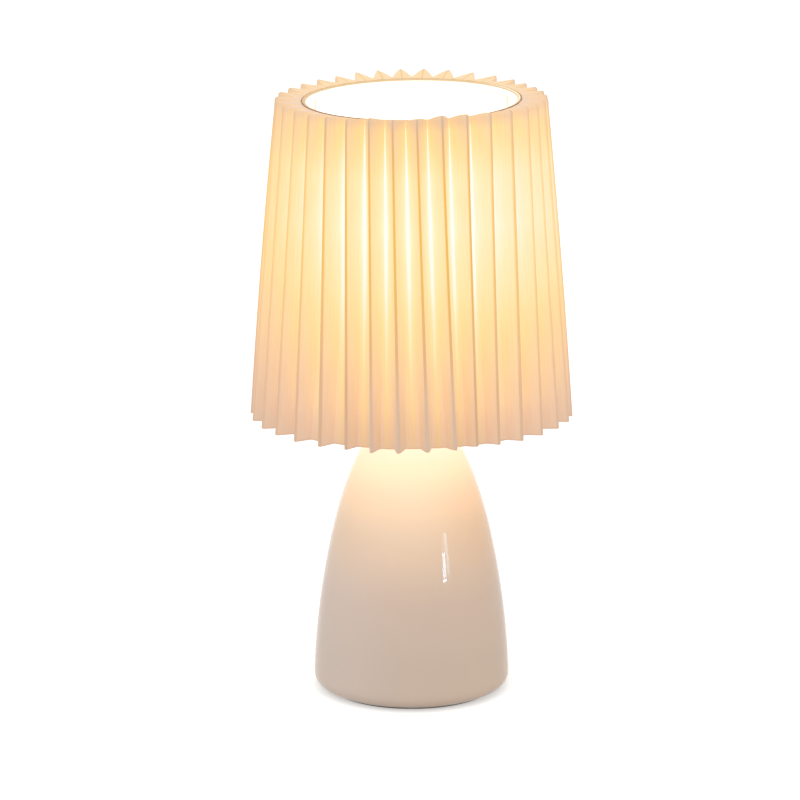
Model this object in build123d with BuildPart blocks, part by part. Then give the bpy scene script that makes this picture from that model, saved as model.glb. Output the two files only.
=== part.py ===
import os
from math import cos, radians, sin, sqrt

from build123d import *

# Pleated table lamp. Millimetres, +Z up, origin at the centre of the resting face.
# The front faces -Y and the cord leaves at +Y.

# Base shell, a hollow glazed body that swells above its foot and narrows to a neck
base_height = 149.0
base_widest_radius = 54.7
base_widest_height = 12.0
foot_inset = 6.7
foot_lift = 1.5
foot_edge_inset = 5.1
foot_edge_height = 1.8
foot_round_inset = 0.7
foot_round_height = 5.4
base_middle_radius = 48.3
base_middle_height = 70.0
base_upper_radius = 35.8
base_upper_drop = 29.0
neck_radius = 22.5
neck_edge_fillet = 2.0
shell_wall = 4.5
foot_rim_width = 1.6
neck_top_wall = 7.0
ledge_width = 3.4
ledge_thickness = 4.0

# Pieces that close the foot
pad_inset = 1.0
plate_thickness = 2.0
plate_bottom = 15.5
plate_clearance = 0.5

# Hollow threaded rod that ties the plate to the lampholder
rod_radius = 5.0
rod_bore_radius = 3.9
rod_tail = 7.5
rod_end_gap = 1.0
rod_clearance = 0.3
thread_gap = 0.05
washer_radius = 9.5
washer_thickness = 1.5
nut_across_flats = 14.0
nut_thickness = 4.0

# Cord grommet in the rear of the foot
cord_bore_radius = 3.3
grommet_hub_radius = 4.3
grommet_hole_clearance = 0.05
grommet_height = 9.8
grommet_flange_radius = 5.3
grommet_flange_thickness = 1.5
grommet_gap = 0.4

# Neck fittings under the lampholder
gasket_thickness = 1.0
gasket_inset = 3.0
neck_cap_inset = 2.0
neck_cap_thickness = 1.6
neck_cap_lip_height = 3.0
neck_cap_lip_thickness = 1.0

# Lampholder
holder_cap_height = 21.0
holder_cap_bend_height = 7.0
holder_cap_inset = 0.4
holder_cap_foot_inset = 4.0
holder_wall = 2.0
holder_boss_radius = 8.0
holder_boss_height = 11.0
holder_skirt_height = 7.0
holder_skirt_lip = 0.8
holder_flange_width = 4.1
holder_flange_thickness = 2.5
holder_barrel_height = 27.0
holder_barrel_wall = 3.0
holder_shell_gap = 2.4
holder_mouth_lip = 1.4
holder_mouth_thickness = 2.0
insulator_height = 10.0
insulator_clearance = 0.2
insulator_lift = 3.0
screw_shell_clearance = 0.3
screw_shell_wall = 0.5
contact_width = 6.0
contact_strip_length = 15.0
contact_thickness = 0.5
terminal_spacing = 16.0
terminal_radius = 2.0
terminal_head_height = 2.6
terminal_slot_width = 0.7
terminal_slot_depth = 0.9
terminal_screw_depth = 3.5
terminal_hole_depth = 5.0

# Bulb, a slim candle type
bulb_length = 100.0
bulb_seat_gap = 0.4
bulb_tip_radius = 4.4
bulb_tip_height = 1.0
bulb_tip_fillet = 0.7
bulb_insulator_height = 3.8
bulb_insulator_foot_radius = 5.0
bulb_insulator_radius = 10.6
bulb_thread_radius = 13.2
bulb_thread_depth = 0.8
bulb_thread_pitch = 3.62
bulb_thread_start = 2.2
bulb_cap_height = 19.0
bulb_cap_wall = 0.4
bulb_housing_height = 21.0
bulb_housing_step = 3.8
bulb_housing_bend_drop = 5.2
bulb_housing_bend_inset = 1.2
bulb_housing_wall = 1.6
bulb_globe_step = 1.5
bulb_globe_wall = 1.0
bulb_shoulder_height = 13.0
bulb_taper_radius = 13.3
bulb_taper_drop = 19.9
bulb_nose_radius = 5.0
bulb_nose_drop = 2.7
led_board_thickness = 1.4
led_board_clearance = 0.6
led_count = 8
led_circle_radius = 9.5
led_size = 2.8
led_height = 0.8

# Retaining ring that screws down on the fitter
retainer_flange_width = 2.8
retainer_flange_thickness = 2.4
retainer_wall = 4.6
retainer_height = 9.5
retainer_clearance = 0.2
retainer_grip_count = 24
retainer_grip_radius = 0.9

# Shade cover, whose bottom edge hangs a little above the top of the base
shade_base_gap = 8.4
shade_height = 180.1
shade_bottom_radius = 90.0
shade_top_radius = 75.4
pleat_count = 35
pleat_depth_bottom = 9.4
pleat_depth_top = 11.2
pleat_floor_bottom = 0.46
pleat_floor_top = 0.16
cover_thickness = 1.3
ridge_thickness = 2.3
shoulder_drop = 4.0
shoulder_round = 1.3
shoulder_inset = 2.1
fan_drop = 3.0
opening_radius = 60.0
cover_top_thickness = 1.2

# Wire frame and trims of the shade
top_wire_radius = 1.0
bottom_wire_radius = 1.2
strut_wire_radius = 0.9
arm_wire_radius = 1.4
arm_count = 3
frame_gap = 0.35
bottom_wire_lift = 2.2
rim_tape_width = 2.8
rim_tape_thickness = 0.6
rim_tape_proud = 0.3
fitter_clearance = 0.8
fitter_width = 5.0
fitter_thickness = 1.6
rest_gap = 0.1
cut_margin = 1.0

# Radii that follow in the base, and the gap between the two flanges of the grommet
foot_radius = base_widest_radius - foot_inset
foot_bore_radius = foot_radius - foot_rim_width
plate_radius = foot_bore_radius - plate_clearance
neck_cap_radius = neck_radius - neck_cap_inset
grommet_outer_face = base_widest_radius + grommet_gap
grommet_inner_face = sqrt(foot_bore_radius**2 - grommet_flange_radius**2) - grommet_gap

# Radii that follow from the bulb's thread outwards, to the ring that holds the shade
screw_shell_bore_radius = bulb_thread_radius + screw_shell_clearance
holder_bore_radius = screw_shell_bore_radius + screw_shell_wall + holder_shell_gap
holder_mouth_radius = holder_bore_radius - holder_mouth_lip
holder_barrel_radius = holder_bore_radius + holder_barrel_wall
holder_cap_radius = holder_barrel_radius - holder_cap_inset
holder_cap_foot_radius = holder_cap_radius - holder_cap_foot_inset
holder_skirt_radius = holder_barrel_radius + holder_skirt_lip
holder_flange_radius = holder_barrel_radius + holder_flange_width
retainer_bore_radius = holder_barrel_radius + retainer_clearance
retainer_body_radius = retainer_bore_radius + retainer_wall
retainer_radius = retainer_body_radius + retainer_flange_width
bulb_root_radius = bulb_thread_radius - bulb_thread_depth
bulb_housing_radius = bulb_thread_radius + bulb_housing_step
bulb_globe_radius = bulb_housing_radius + bulb_globe_step

# Heights that follow from the sizes above, from the foot up
plate_top = plate_bottom + plate_thickness
ledge_top = plate_top + ledge_thickness
neck_cap_bottom = base_height + gasket_thickness
neck_cap_top = neck_cap_bottom + neck_cap_thickness
holder_cap_top = neck_cap_top + holder_cap_height
holder_flange_bottom = holder_cap_top + holder_skirt_height
holder_flange_top = holder_flange_bottom + holder_flange_thickness
holder_top = holder_flange_top + holder_barrel_height
insulator_bottom = holder_cap_top + insulator_lift
insulator_top = insulator_bottom + insulator_height
contact_top = insulator_top + 2 * contact_thickness
rod_top = neck_cap_top + holder_boss_height - rod_end_gap
bulb_bottom = contact_top + bulb_seat_gap
bulb_cap_bottom = bulb_bottom + bulb_tip_height + bulb_insulator_height
bulb_cap_top = bulb_cap_bottom + bulb_cap_height
bulb_globe_bottom = bulb_cap_top + bulb_housing_height
bulb_top = bulb_bottom + bulb_length
fitter_bottom = holder_flange_top + rest_gap
fitter_top = fitter_bottom + fitter_thickness
retainer_bottom = fitter_top + rest_gap

# Shade sizes that follow, each ring of wire just inside the pleat valleys
shade_bottom_height = base_height + shade_base_gap
shade_top = shade_bottom_height + shade_height
shoulder_height = shade_top - shoulder_drop
ridge_radius = shade_top_radius - shoulder_inset
opening_height = shade_top - fan_drop
valley_bottom_radius = shade_bottom_radius - pleat_depth_bottom
valley_top_radius = shade_top_radius - pleat_depth_top
cavity_top = opening_height - cover_top_thickness
bottom_wire_height = shade_bottom_height + bottom_wire_lift
bottom_wire_ring = valley_bottom_radius - cover_thickness - bottom_wire_radius - 2 * frame_gap
top_wire_height = cavity_top - top_wire_radius - frame_gap
top_wire_ring = opening_radius + top_wire_radius + frame_gap
fitter_bore_radius = holder_barrel_radius + fitter_clearance
fitter_radius = fitter_bore_radius + fitter_width

os.makedirs("parts", exist_ok=True)


def turned(points, mode=Mode.ADD):
    """Revolve a closed outline of (radius, height) points about the lamp's axis."""
    with BuildSketch(Plane.XZ) as outline:
        with BuildLine():
            Polyline(*points, close=True)
        make_face()
    revolve(outline.sketch, axis=Axis.Z, mode=mode)


def wire_ring(ring_radius, height, wire_radius, mode=Mode.ADD):
    """A ring of round wire about the lamp's axis."""
    with BuildSketch(Plane.XZ) as section:
        with Locations((ring_radius, height)):
            Circle(wire_radius)
    revolve(section.sketch, axis=Axis.Z, mode=mode)


def disc(radius, bottom, thickness, mode=Mode.ADD):
    """A flat round plate about the lamp's axis."""
    with BuildSketch(Plane.XY.offset(bottom)) as outline:
        Circle(radius)
    extrude(outline.sketch, amount=thickness, mode=mode)


def washer(radius, bore_radius, bottom, thickness):
    """A flat round plate with a hole in its middle."""
    with BuildSketch(Plane.XY.offset(bottom)) as outline:
        Circle(radius)
        Circle(bore_radius, mode=Mode.SUBTRACT)
    extrude(outline.sketch, amount=thickness)


def base_body(inset, bottom, top, mode=Mode.ADD):
    """The turned body of the base, with its side drawn in by inset, cut flat at bottom and top."""
    side = [
        (base_widest_radius - foot_edge_inset - inset, foot_edge_height),
        (base_widest_radius - foot_round_inset - inset, foot_round_height),
        (base_widest_radius - inset, base_widest_height),
        (base_middle_radius - inset, base_middle_height),
        (base_upper_radius - inset, base_height - base_upper_drop),
        (neck_radius - inset, base_height),
    ]
    with BuildSketch(Plane.XZ) as outline:
        with BuildLine():
            Line((0, foot_lift), (foot_radius - inset, foot_lift))
            Line((foot_radius - inset, foot_lift), side[0])
            Spline(*side)
            Line(side[-1], (0, base_height))
            Line((0, base_height), (0, foot_lift))
        make_face()
        with Locations((0, (bottom + top) / 2)):
            Rectangle(4 * base_widest_radius, top - bottom, mode=Mode.INTERSECT)
    revolve(outline.sketch, axis=Axis.Z, mode=mode)


def pleat_outline(tip_radius, valley_radius, floor_share, height):
    """One closed pleated outline: sharp ridges outside, flat floored valleys inside."""
    pitch = 360 / pleat_count
    half_floor = pitch * floor_share / 2
    points = []
    for index in range(pleat_count):
        ridge = -90 + index * pitch
        valley = ridge + pitch / 2
        for radius, angle in (
            (tip_radius, ridge),
            (valley_radius, valley - half_floor),
            (valley_radius, valley + half_floor),
        ):
            points.append((radius * cos(radians(angle)), radius * sin(radians(angle))))
    with BuildSketch(Plane.XY.offset(height)) as outline:
        with BuildLine():
            Polyline(*points, close=True)
        make_face()
    return outline.sketch


# Base shell
with BuildPart() as base_shell:
    base_body(0, foot_lift, base_height)
    fillet(base_shell.edges().sort_by(Axis.Z)[-1], radius=neck_edge_fillet)
    disc(foot_bore_radius, foot_lift, plate_top - foot_lift, Mode.SUBTRACT)
    disc(foot_bore_radius - ledge_width, plate_top, ledge_thickness, Mode.SUBTRACT)
    base_body(shell_wall, ledge_top, base_height - neck_top_wall, Mode.SUBTRACT)
    disc(rod_radius + rod_clearance, base_height - 2 * neck_top_wall, 3 * neck_top_wall, Mode.SUBTRACT)
    with BuildSketch(Plane.XZ):
        with Locations((0, grommet_height)):
            Circle(grommet_hub_radius + grommet_hole_clearance)
    extrude(amount=-2 * base_widest_radius, mode=Mode.SUBTRACT)
base_shell.part.label = "base_shell"
export_step(base_shell.part, "parts/base_shell.step")

# Felt pad under the foot
with BuildPart() as base_pad:
    disc(foot_radius - pad_inset, 0, foot_lift)
base_pad.part.label = "base_pad"
export_step(base_pad.part, "parts/base_pad.step")

# Steel plate that the rod pulls up against the ledge
with BuildPart() as bottom_plate:
    washer(plate_radius, rod_radius + rod_clearance, plate_bottom, plate_thickness)
bottom_plate.part.label = "bottom_plate"
export_step(bottom_plate.part, "parts/bottom_plate.step")

# Rubber grommet that the cord passes through, with a flange on each side of the wall
with BuildPart() as cord_grommet:
    with BuildSketch(Plane.XZ.offset(-grommet_inner_face)):
        with Locations((0, grommet_height)):
            Circle(grommet_hub_radius)
    extrude(amount=grommet_inner_face - grommet_outer_face)
    for flange_face in (grommet_inner_face - grommet_flange_thickness, grommet_outer_face):
        with BuildSketch(Plane.XZ.offset(-flange_face)):
            with Locations((0, grommet_height)):
                Circle(grommet_flange_radius)
        extrude(amount=-grommet_flange_thickness)
    with BuildSketch(Plane.XZ):
        with Locations((0, grommet_height)):
            Circle(cord_bore_radius)
    extrude(amount=-2 * base_widest_radius, mode=Mode.SUBTRACT)
cord_grommet.part.label = "cord_grommet"
export_step(cord_grommet.part, "parts/cord_grommet.step")

# Hollow threaded rod, with a nut and washer under the plate
with BuildPart() as threaded_rod:
    washer(rod_radius, rod_bore_radius, rod_tail, rod_top - rod_tail)
threaded_rod.part.label = "threaded_rod"
export_step(threaded_rod.part, "parts/threaded_rod.step")

with BuildPart() as rod_washer:
    washer(washer_radius, rod_radius + thread_gap, plate_bottom - washer_thickness, washer_thickness)
rod_washer.part.label = "rod_washer"
export_step(rod_washer.part, "parts/rod_washer.step")

with BuildPart() as rod_nut:
    nut_bottom = plate_bottom - washer_thickness - nut_thickness
    with BuildSketch(Plane.XY.offset(nut_bottom)):
        RegularPolygon(radius=nut_across_flats / 2, side_count=6, major_radius=False)
        Circle(rod_radius + thread_gap, mode=Mode.SUBTRACT)
    extrude(amount=nut_thickness)
rod_nut.part.label = "rod_nut"
export_step(rod_nut.part, "parts/rod_nut.step")

# Rubber gasket and metal cap on the neck
with BuildPart() as neck_gasket:
    washer(neck_radius - gasket_inset, rod_radius + rod_clearance, base_height, gasket_thickness)
neck_gasket.part.label = "neck_gasket"
export_step(neck_gasket.part, "parts/neck_gasket.step")

with BuildPart() as neck_cap:
    washer(neck_cap_radius, rod_radius + rod_clearance, neck_cap_bottom, neck_cap_thickness)
    lip_bore = neck_cap_radius - neck_cap_lip_thickness
    washer(neck_cap_radius, lip_bore, neck_cap_bottom, neck_cap_lip_height)
neck_cap.part.label = "neck_cap"
export_step(neck_cap.part, "parts/neck_cap.step")

# Lampholder cap, a cup with a threaded boss that screws onto the rod
with BuildPart() as holder_cap:
    turned(
        [
            (rod_radius + thread_gap, neck_cap_top),
            (holder_cap_foot_radius, neck_cap_top),
            (holder_cap_radius, neck_cap_top + holder_cap_bend_height),
            (holder_cap_radius, holder_cap_top),
            (holder_cap_radius - holder_wall, holder_cap_top),
            (holder_cap_radius - holder_wall, neck_cap_top + holder_cap_bend_height + holder_wall / 2),
            (holder_cap_foot_radius - holder_wall / 2, neck_cap_top + holder_wall),
            (holder_boss_radius, neck_cap_top + holder_wall),
            (holder_boss_radius, neck_cap_top + holder_boss_height),
            (rod_radius + thread_gap, neck_cap_top + holder_boss_height),
        ]
    )
holder_cap.part.label = "holder_cap"
export_step(holder_cap.part, "parts/holder_cap.step")

# Lampholder body: skirt, flange that carries the shade, and barrel for the retaining ring
with BuildPart() as holder_body:
    turned(
        [
            (holder_bore_radius, holder_cap_top),
            (holder_skirt_radius, holder_cap_top),
            (holder_skirt_radius, holder_flange_bottom),
            (holder_flange_radius, holder_flange_bottom),
            (holder_flange_radius, holder_flange_top),
            (holder_barrel_radius, holder_flange_top),
            (holder_barrel_radius, holder_top),
            (holder_mouth_radius, holder_top),
            (holder_mouth_radius, holder_top - holder_mouth_thickness),
            (holder_bore_radius, holder_top - holder_mouth_thickness),
        ]
    )
holder_body.part.label = "holder_body"
export_step(holder_body.part, "parts/holder_body.step")

# Contact block inside the lampholder, with two terminal screws under it
with BuildPart() as holder_insulator:
    disc(holder_bore_radius - insulator_clearance, insulator_bottom, insulator_height)
    with BuildSketch(Plane.XY.offset(insulator_bottom)):
        with GridLocations(terminal_spacing, 0, 2, 1):
            Circle(terminal_radius + thread_gap)
    extrude(amount=terminal_hole_depth, mode=Mode.SUBTRACT)
holder_insulator.part.label = "holder_insulator"
export_step(holder_insulator.part, "parts/holder_insulator.step")

with BuildPart() as terminal_screws:
    terminal_bottom = insulator_bottom - terminal_head_height
    with BuildSketch(Plane.XY.offset(terminal_bottom)):
        with GridLocations(terminal_spacing, 0, 2, 1):
            Circle(terminal_radius)
    extrude(amount=terminal_head_height + terminal_screw_depth)
    with BuildSketch(Plane.XY.offset(terminal_bottom)):
        with GridLocations(terminal_spacing, 0, 2, 1):
            Rectangle(2 * terminal_radius, terminal_slot_width)
    extrude(amount=terminal_slot_depth, mode=Mode.SUBTRACT)
terminal_screws.part.label = "terminal_screws"
export_step(terminal_screws.part, "parts/terminal_screws.step")

# Metal screw shell that takes the bulb, and the centre contact strip below it
with BuildPart() as screw_shell:
    washer(
        screw_shell_bore_radius + screw_shell_wall,
        screw_shell_bore_radius,
        insulator_top,
        holder_top - holder_mouth_thickness - insulator_top,
    )
screw_shell.part.label = "screw_shell"
export_step(screw_shell.part, "parts/screw_shell.step")

with BuildPart() as centre_contact:
    with BuildSketch(Plane.XY.offset(insulator_top)):
        Rectangle(contact_strip_length, contact_width)
    extrude(amount=contact_thickness)
    with BuildSketch(Plane.XY.offset(insulator_top + contact_thickness)):
        Circle(contact_width / 2)
    extrude(amount=contact_thickness)
centre_contact.part.label = "centre_contact"
export_step(centre_contact.part, "parts/centre_contact.step")

# Bulb, from the contact up
with BuildPart() as bulb_contact:
    disc(bulb_tip_radius, bulb_bottom, bulb_tip_height)
    fillet(bulb_contact.edges().sort_by(Axis.Z)[0], radius=bulb_tip_fillet)
bulb_contact.part.label = "bulb_contact"
export_step(bulb_contact.part, "parts/bulb_contact.step")

with BuildPart() as bulb_insulator:
    turned(
        [
            (0, bulb_bottom + bulb_tip_height),
            (bulb_insulator_foot_radius, bulb_bottom + bulb_tip_height),
            (bulb_insulator_radius, bulb_cap_bottom),
            (0, bulb_cap_bottom),
        ]
    )
bulb_insulator.part.label = "bulb_insulator"
export_step(bulb_insulator.part, "parts/bulb_insulator.step")

# Screw cap of the bulb, with rounded thread ridges
with BuildPart() as bulb_cap:
    disc(bulb_root_radius, bulb_cap_bottom, bulb_cap_height)
    ridge_count = int(bulb_cap_height / bulb_thread_pitch)
    for index in range(ridge_count):
        ridge_height = bulb_cap_bottom + bulb_thread_start + index * bulb_thread_pitch
        wire_ring(bulb_root_radius, ridge_height, bulb_thread_depth)
    disc(bulb_root_radius - bulb_cap_wall, bulb_cap_bottom + bulb_cap_wall, bulb_cap_height, Mode.SUBTRACT)
bulb_cap.part.label = "bulb_cap"
export_step(bulb_cap.part, "parts/bulb_cap.step")

with BuildPart() as bulb_housing:
    housing_foot = bulb_root_radius + bulb_cap_wall
    board_bottom = bulb_globe_bottom - 2 * led_board_thickness
    turned(
        [
            (housing_foot - bulb_housing_wall, bulb_cap_top),
            (housing_foot, bulb_cap_top),
            (bulb_housing_radius - bulb_housing_bend_inset, bulb_globe_bottom - bulb_housing_bend_drop),
            (bulb_housing_radius, bulb_globe_bottom),
            (bulb_housing_radius - bulb_housing_wall, bulb_globe_bottom),
            (bulb_housing_radius - bulb_housing_wall, board_bottom),
            (bulb_housing_radius - 2 * bulb_housing_wall - bulb_housing_bend_inset / 2, board_bottom),
        ]
    )
bulb_housing.part.label = "bulb_housing"
export_step(bulb_housing.part, "parts/bulb_housing.step")

with BuildPart() as led_board:
    disc(bulb_housing_radius - bulb_housing_wall - led_board_clearance, board_bottom, led_board_thickness)
led_board.part.label = "led_board"
export_step(led_board.part, "parts/led_board.step")

with BuildPart() as led_chips:
    with BuildSketch(Plane.XY.offset(board_bottom + led_board_thickness)):
        with PolarLocations(led_circle_radius, led_count):
            Rectangle(led_size, led_size)
    extrude(amount=led_height)
led_chips.part.label = "led_chips"
export_step(led_chips.part, "parts/led_chips.step")


def globe_body(inset, bottom, mode=Mode.ADD):
    """The turned body of the candle shaped globe, drawn in by inset."""
    nose = bulb_top - inset
    with BuildSketch(Plane.XZ) as outline:
        with BuildLine():
            Line((0, bottom), (bulb_housing_radius - inset, bottom))
            Spline(
                (bulb_housing_radius - inset, bottom),
                (bulb_globe_radius - inset, bulb_globe_bottom + bulb_shoulder_height),
                (bulb_taper_radius - inset, bulb_top - bulb_taper_drop),
                (bulb_nose_radius - inset / 2, nose - bulb_nose_drop),
                (0, nose),
                tangents=[(0.15, 1), (-1, 0)],
            )
            Line((0, nose), (0, bottom))
        make_face()
    revolve(outline.sketch, axis=Axis.Z, mode=mode)


with BuildPart() as bulb_globe:
    globe_body(0, bulb_globe_bottom)
    globe_body(bulb_globe_wall, bulb_globe_bottom, Mode.SUBTRACT)
bulb_globe.part.label = "bulb_globe"
export_step(bulb_globe.part, "parts/bulb_globe.step")

# Retaining ring with a ribbed grip
with BuildPart() as shade_ring:
    disc(retainer_radius, retainer_bottom, retainer_flange_thickness)
    disc(retainer_body_radius, retainer_bottom, retainer_height)
    with BuildSketch(Plane.XY.offset(retainer_bottom)):
        with PolarLocations(retainer_body_radius, retainer_grip_count):
            Circle(retainer_grip_radius)
    extrude(amount=retainer_height)
    disc(retainer_bore_radius, retainer_bottom - cut_margin, retainer_height + 2 * cut_margin, Mode.SUBTRACT)
shade_ring.part.label = "shade_ring"
export_step(shade_ring.part, "parts/shade_ring.step")

# Pleated cover: a straight sided pleated cone whose top folds over into a fan round the opening
with BuildPart() as shade_cover:
    inner_edge = opening_radius - shoulder_inset
    outside = [
        (shade_bottom_radius, valley_bottom_radius, pleat_floor_bottom, shade_bottom_height),
        (shade_top_radius, valley_top_radius, pleat_floor_top, shoulder_height),
        (
            shade_top_radius - shoulder_inset / 4,
            valley_top_radius - shoulder_inset / 4,
            pleat_floor_top,
            shade_top - shoulder_round,
        ),
        (ridge_radius, valley_top_radius - shoulder_inset / 2, pleat_floor_top, shade_top),
        (inner_edge, inner_edge, pleat_floor_top, opening_height),
    ]
    loft([pleat_outline(*level) for level in outside], ruled=True)
    side_slope = (shade_bottom_radius - shade_top_radius) / (shoulder_height - shade_bottom_height)
    inside = [
        (
            shade_bottom_radius + side_slope * cut_margin - ridge_thickness,
            valley_bottom_radius + side_slope * cut_margin - cover_thickness,
            pleat_floor_bottom,
            shade_bottom_height - cut_margin,
        ),
        (
            shade_top_radius - ridge_thickness,
            valley_top_radius - cover_thickness,
            pleat_floor_top,
            cavity_top,
        ),
    ]
    loft([pleat_outline(*level) for level in inside], ruled=True, mode=Mode.SUBTRACT)
    disc(opening_radius, cavity_top - cut_margin, shade_top - cavity_top + 2 * cut_margin, Mode.SUBTRACT)
shade_cover.part.label = "shade_cover"
export_step(shade_cover.part, "parts/shade_cover.step")

# Tape that binds the edge of the opening
with BuildPart() as rim_tape:
    tape_radius = opening_radius - thread_gap
    tape_top = opening_height + rim_tape_proud
    washer(tape_radius, tape_radius - rim_tape_thickness, tape_top - rim_tape_width, rim_tape_width)
rim_tape.part.label = "rim_tape"
export_step(rim_tape.part, "parts/rim_tape.step")

# Welded wire frame of the shade
with BuildPart() as top_ring:
    wire_ring(top_wire_ring, top_wire_height, top_wire_radius)
top_ring.part.label = "top_ring"
export_step(top_ring.part, "parts/top_ring.step")

with BuildPart() as bottom_ring:
    wire_ring(bottom_wire_ring, bottom_wire_height, bottom_wire_radius)
bottom_ring.part.label = "bottom_ring"
export_step(bottom_ring.part, "parts/bottom_ring.step")


def straight_wires(low, high, wire_radius, first_turn):
    """Straight round wires, evenly spaced round the lamp, each in a plane through its axis."""
    run, rise = high[0] - low[0], high[1] - low[1]
    length = sqrt(run**2 + rise**2)
    for index in range(arm_count):
        turn = radians(first_turn + index * 360 / arm_count)
        outward = (cos(turn), sin(turn), 0)
        start = (low[0] * outward[0], low[0] * outward[1], low[1])
        along = (run * outward[0], run * outward[1], rise)
        with BuildSketch(Plane(origin=start, z_dir=along)) as section:
            Circle(wire_radius)
        extrude(section.sketch, amount=length)


with BuildPart() as frame_struts:
    straight_wires(
        (bottom_wire_ring, bottom_wire_height),
        (top_wire_ring, top_wire_height),
        strut_wire_radius,
        -90,
    )
    wire_ring(bottom_wire_ring, bottom_wire_height, bottom_wire_radius, Mode.SUBTRACT)
    wire_ring(top_wire_ring, top_wire_height, top_wire_radius, Mode.SUBTRACT)
frame_struts.part.label = "frame_struts"
export_step(frame_struts.part, "parts/frame_struts.step")

with BuildPart() as fitter_ring:
    washer(fitter_radius, fitter_bore_radius, fitter_bottom, fitter_thickness)
fitter_ring.part.label = "fitter_ring"
export_step(fitter_ring.part, "parts/fitter_ring.step")

with BuildPart() as fitter_arms:
    straight_wires(
        (fitter_radius - fitter_width / 4, fitter_bottom),
        (bottom_wire_ring, bottom_wire_height),
        arm_wire_radius,
        90,
    )
    wire_ring(bottom_wire_ring, bottom_wire_height, bottom_wire_radius, Mode.SUBTRACT)
    disc(fitter_radius, fitter_bottom - fitter_thickness, 3 * fitter_thickness, Mode.SUBTRACT)
fitter_arms.part.label = "fitter_arms"
export_step(fitter_arms.part, "parts/fitter_arms.step")
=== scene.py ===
from math import atan2, cos, pi, radians, sin, sqrt

import bpy
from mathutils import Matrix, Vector


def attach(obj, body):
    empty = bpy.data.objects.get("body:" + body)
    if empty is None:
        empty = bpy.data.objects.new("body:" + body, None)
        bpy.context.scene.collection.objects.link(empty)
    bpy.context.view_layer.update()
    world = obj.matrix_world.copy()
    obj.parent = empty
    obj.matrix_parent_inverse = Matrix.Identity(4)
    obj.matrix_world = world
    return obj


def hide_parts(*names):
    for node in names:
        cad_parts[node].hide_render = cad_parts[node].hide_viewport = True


# Pleated table lamp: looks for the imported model. Metres, +Z up, front at -Y.
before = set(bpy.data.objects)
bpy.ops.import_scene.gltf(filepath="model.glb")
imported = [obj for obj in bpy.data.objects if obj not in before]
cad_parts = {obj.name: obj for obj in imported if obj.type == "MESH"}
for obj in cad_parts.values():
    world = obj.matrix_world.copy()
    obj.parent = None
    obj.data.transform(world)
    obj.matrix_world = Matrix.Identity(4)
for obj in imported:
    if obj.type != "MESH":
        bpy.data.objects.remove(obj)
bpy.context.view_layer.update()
mm = 0.001
bpy.ops.object.select_all(action="DESELECT")


def fromScreen(red, green, blue):
    # a colour as a picture editor shows it, 0 to 255, turned into Blender's own values
    part = [c / 255 for c in (red, green, blue)]
    return tuple(c / 12.92 if c <= 0.04045 else ((c + 0.055) / 1.055) ** 2.4 for c in part)


def scaled(colour, by):
    return tuple(v * by for v in colour)


def between(ends, share):
    return ends[0] + (ends[1] - ends[0]) * share


# shader maths: sums and products on a Wire add the nodes that work them out
class Wire:
    def __init__(self, nodes, socket):
        self.nodes = nodes
        self.socket = socket

    def maths(self, operation, *others):
        return self.nodes.node("Math", {"operation": operation}, dict(enumerate((self,) + others)))

    def __add__(self, other):
        return self.maths("ADD", other)

    def __sub__(self, other):
        return self.maths("SUBTRACT", other)

    def __rsub__(self, other):
        return self.nodes.node("Math", {"operation": "SUBTRACT"}, {0: other, 1: self})

    def __mul__(self, other):
        return self.maths("MULTIPLY", other)

    def __truediv__(self, other):
        return self.maths("DIVIDE", other)

    def __pow__(self, other):
        return self.maths("POWER", other)

    def __abs__(self):
        return self.maths("ABSOLUTE")

    __radd__ = __add__
    __rmul__ = __mul__

    def fraction(self):
        return self.maths("FRACT")

    def atLeast(self, low):
        return self.maths("MAXIMUM", low)

    def rises(self, start, end):
        # 0 before start, 1 after end, straight between them
        return self.nodes.node("MapRange", None, {0: self, 1: start, 2: end})

    def fades(self, start, end):
        # 0 before start, 1 after end, eased between them
        return self.nodes.node("MapRange", {"interpolation_type": "SMOOTHSTEP"}, {0: self, 1: start, 2: end})

    def bell(self, centre, width):
        # 1 at centre, easing to 0 at width on either side
        return 1 - abs(self - centre).fades(0, width)


# a tree of nodes and the shader at its end; node makes every other kind of node
class Nodes:
    def __init__(self, owner, shader, fixed):
        owner.use_nodes = True
        self.tree = owner.node_tree
        self.shader = self.tree.nodes[shader]
        for socket, value in fixed.items():
            plain = isinstance(value, (int, float))
            self.shader.inputs[socket].default_value = value if plain else (*value, 1)

    def node(self, kind, settings=None, inputs=None, output=0):
        made = self.tree.nodes.new("ShaderNode" + kind)
        for name, value in (settings or {}).items():
            if name == "stops":
                ramp = made.color_ramp
                while len(ramp.elements) < len(value):
                    ramp.elements.new(0.5)
                for element, (place, colour) in zip(ramp.elements, value):
                    element.position = place
                    element.color = (*colour, 1)
            else:
                setattr(made, name, value)
        for place, value in (inputs or {}).items():
            if isinstance(value, Wire):
                self.tree.links.new(value.socket, made.inputs[place])
            else:
                made.inputs[place].default_value = value
        return Wire(self, made.outputs[output])

    def feed(self, socket, wire):
        self.tree.links.new(wire.socket, self.shader.inputs[socket])

    def seenOnly(self):
        # 1 for the camera, the gloss and clear pieces, 0 for the light that falls on the object
        seen = self.node("LightPath", output="Is Camera Ray")
        for ray in ("Is Glossy Ray", "Is Transmission Ray"):
            seen = seen.atLeast(self.node("LightPath", output=ray))
        return seen


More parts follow.
